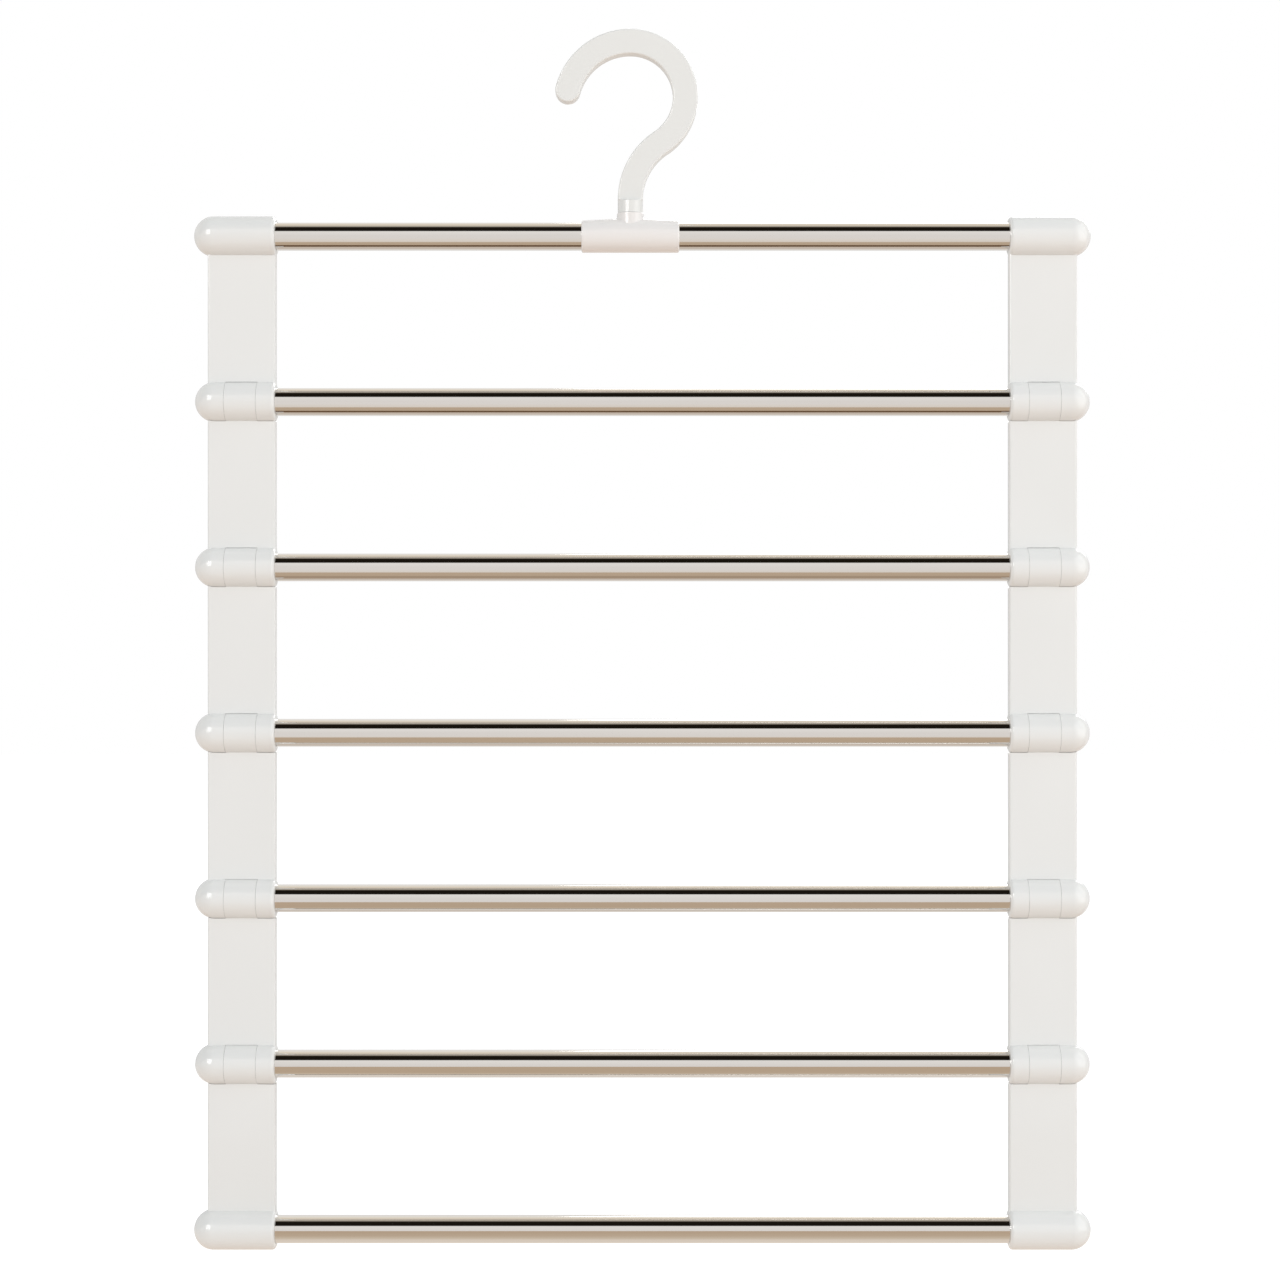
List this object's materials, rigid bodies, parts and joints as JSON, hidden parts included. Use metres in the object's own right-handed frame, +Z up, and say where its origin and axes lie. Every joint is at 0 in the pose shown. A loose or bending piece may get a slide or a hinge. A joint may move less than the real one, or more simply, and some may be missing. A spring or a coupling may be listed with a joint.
{
  "type": "multi tier trouser hanger",
  "caption": "Folding trouser rack: a swivelling flat hook on a saddle, over tiers of steel tube hinged one under another by white side links.",
  "frame": {"origin": "centre of the hook's crook, on the axis of the rail that it hangs from", "axes": "+Z up, +X to the right along the bars, -Y towards the viewer; the rail runs along Y"},
  "size_m": [0.3868, 0.0174, 0.5263],
  "materials": {
    "hook_plastic": "moulded, glossy",
    "saddle_plastic": "moulded, glossy",
    "link_plastic": "moulded, glossy",
    "tube_steel": "mirror polished stainless"
  },
  "bodies": {
    "hook": {"hook": "hook_plastic"},
    "saddle": {"saddle": "saddle_plastic"},
    "tier_1": {"bar_1": "tube_steel", "top_link_left": "link_plastic", "top_link_right": "link_plastic", "bar_2": "tube_steel"},
    "tier_2": {"middle_link_left_1": "link_plastic", "middle_link_right_1": "link_plastic", "bar_3": "tube_steel"},
    "tier_3": {"middle_link_left_2": "link_plastic", "middle_link_right_2": "link_plastic", "bar_4": "tube_steel"},
    "tier_4": {"middle_link_left_3": "link_plastic", "middle_link_right_3": "link_plastic", "bar_5": "tube_steel"},
    "tier_5": {"middle_link_left_4": "link_plastic", "middle_link_right_4": "link_plastic", "bar_6": "tube_steel"},
    "tier_6": {"bottom_link_left": "link_plastic", "bottom_link_right": "link_plastic", "bar_7": "tube_steel"}
  },
  "joints": [
    {"name": "hook_swivel", "type": "hinge", "parent": "hook", "child": "saddle", "pos_m": [0, 0, -0.06007], "axis": [0, 0, 1], "continuous": true},
    {"name": "saddle_tip", "type": "hinge", "parent": "saddle", "child": "tier_1", "pos_m": [0, 0, -0.06007], "axis": [1, 0, 0], "range_deg": [-70, 70]},
    {"name": "fold_1", "type": "hinge", "parent": "tier_1", "child": "tier_2", "pos_m": [0.0052, 0, -0.13147], "axis": [1, 0, 0], "range_deg": [-140, 140]},
    {"name": "fold_2", "type": "hinge", "parent": "tier_2", "child": "tier_3", "pos_m": [0.0052, 0, -0.20287], "axis": [1, 0, 0], "range_deg": [-140, 140]},
    {"name": "fold_3", "type": "hinge", "parent": "tier_3", "child": "tier_4", "pos_m": [0.0052, 0, -0.27427], "axis": [1, 0, 0], "range_deg": [-140, 140]},
    {"name": "fold_4", "type": "hinge", "parent": "tier_4", "child": "tier_5", "pos_m": [0.0052, 0, -0.34567], "axis": [1, 0, 0], "range_deg": [-140, 140]},
    {"name": "fold_5", "type": "hinge", "parent": "tier_5", "child": "tier_6", "pos_m": [0.0052, 0, -0.41707], "axis": [1, 0, 0], "range_deg": [-140, 140]}
  ],
  "couplings": [
    {"joint": "fold_2", "follows": "fold_1", "ratio": -1},
    {"joint": "fold_3", "follows": "fold_1", "ratio": 1},
    {"joint": "fold_4", "follows": "fold_1", "ratio": -1},
    {"joint": "fold_5", "follows": "fold_1", "ratio": 1}
  ]
}
